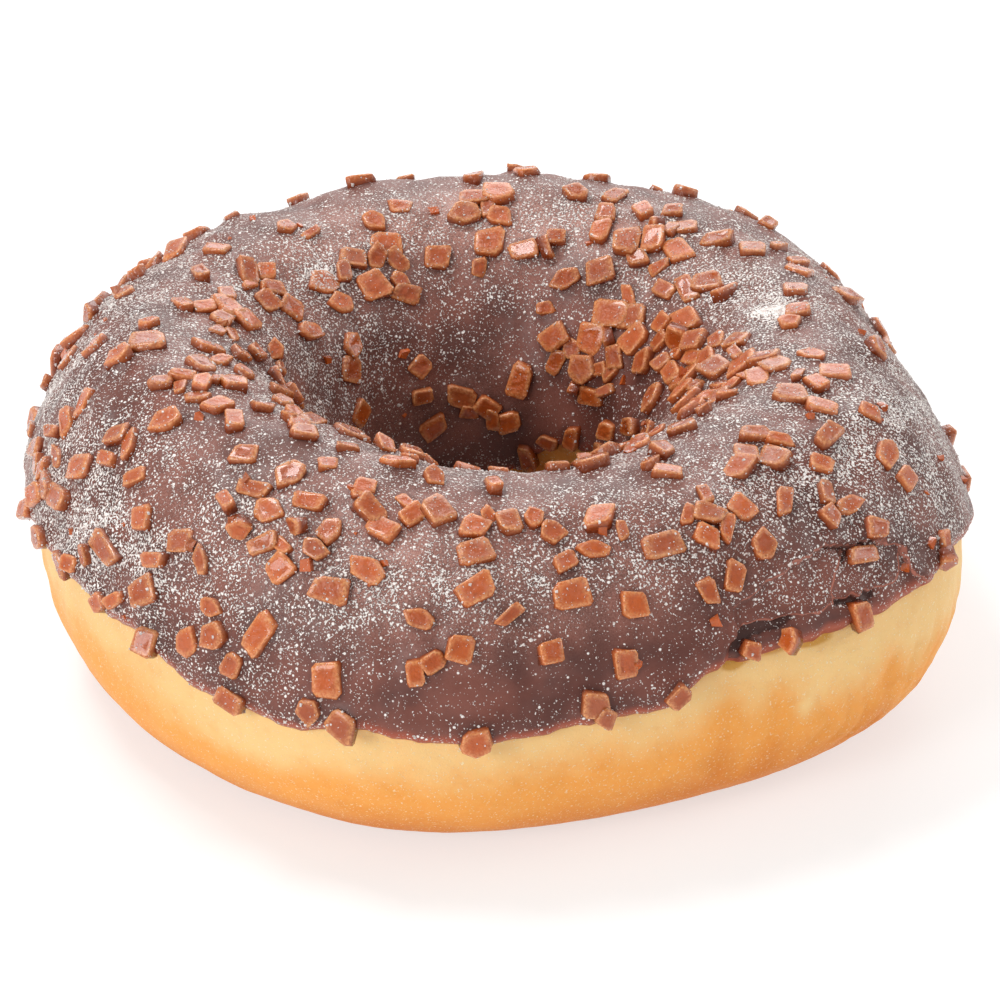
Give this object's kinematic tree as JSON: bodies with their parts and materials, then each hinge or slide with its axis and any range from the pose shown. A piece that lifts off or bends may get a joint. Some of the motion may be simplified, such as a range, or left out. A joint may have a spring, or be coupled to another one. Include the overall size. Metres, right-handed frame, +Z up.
{
  "type": "chocolate iced ring doughnut with caramel chips",
  "caption": "Ring doughnut: a golden fried dough ring, its upper half dipped in dark chocolate icing with small caramel chips and a dusting of sugar.",
  "frame": {"origin": "under the middle of the whole doughnut's box, at the level of its flat base", "axes": "+Z up through the hole; the picture's camera looks from -Y towards +Y with +X to the right"},
  "size_m": [0.086, 0.0874, 0.0344],
  "materials": {
    "dough": "soft fried dough, pale under the icing and golden towards the base",
    "icing": "set dark chocolate icing with a satin sheen",
    "caramel_chips": "smooth caramel chips",
    "sugar": "fine white sugar grains"
  },
  "bodies": {
    "root": {"dough": "dough", "icing": "icing"}
  },
  "joints": []
}
